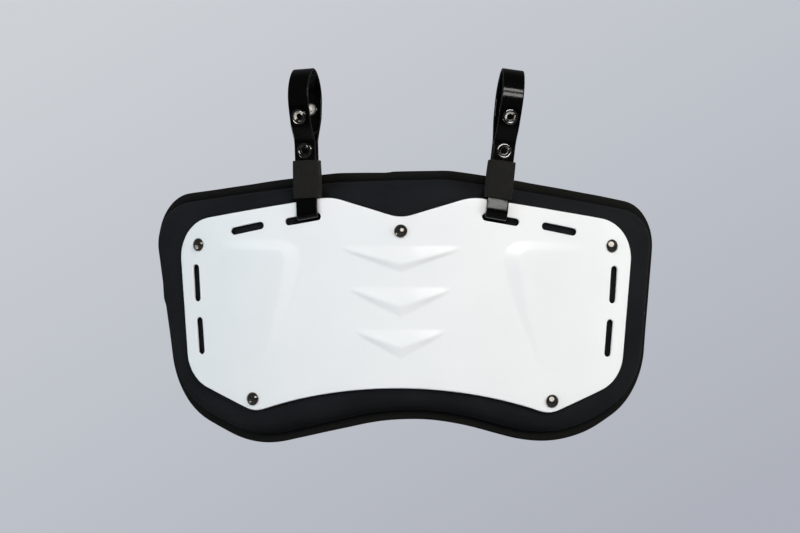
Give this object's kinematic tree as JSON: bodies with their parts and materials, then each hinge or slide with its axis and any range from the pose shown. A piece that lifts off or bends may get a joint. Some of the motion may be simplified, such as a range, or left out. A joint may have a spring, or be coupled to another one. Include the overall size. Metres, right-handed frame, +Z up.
{
  "type": "football back plate",
  "caption": "Curved sports back guard: a bent plastic plate riveted to a rolled-edge foam pad, hung on snap strap loops that come up through slots in the plate's top edge.",
  "frame": {"origin": "midway between the two strap loops, at the height where a bar through them would carry the part", "axes": "+X to the viewer's right across the back plate, +Y from the plate's front towards the wearer's back, +Z up along the straps"},
  "size_m": [0.3776, 0.0902, 0.2751],
  "materials": {
    "foam_pad": "charcoal black foam with a fine laminated fabric face",
    "plate": "glossy moulded white plastic",
    "rivet": "polished dark nickel",
    "strap": "glossy black coated band",
    "keeper": "matte black woven elastic",
    "snap": "bright nickel"
  },
  "bodies": {
    "root": {"foam_pad": "foam_pad", "plate": "plate", "rivet_top_left": "rivet", "rivet_top_right": "rivet", "rivet_top_middle": "rivet", "rivet_bottom_left": "rivet", "rivet_bottom_right": "rivet", "strap_left": "strap", "strap_right": "strap", "keeper_left": "keeper", "keeper_right": "keeper", "snap_left_upper_socket": "snap", "snap_left_upper_stud": "snap", "snap_left_lower_socket": "snap", "snap_left_lower_stud": "snap", "snap_right_upper_socket": "snap", "snap_right_upper_stud": "snap", "snap_right_lower_socket": "snap", "snap_right_lower_stud": "snap"}
  },
  "joints": []
}
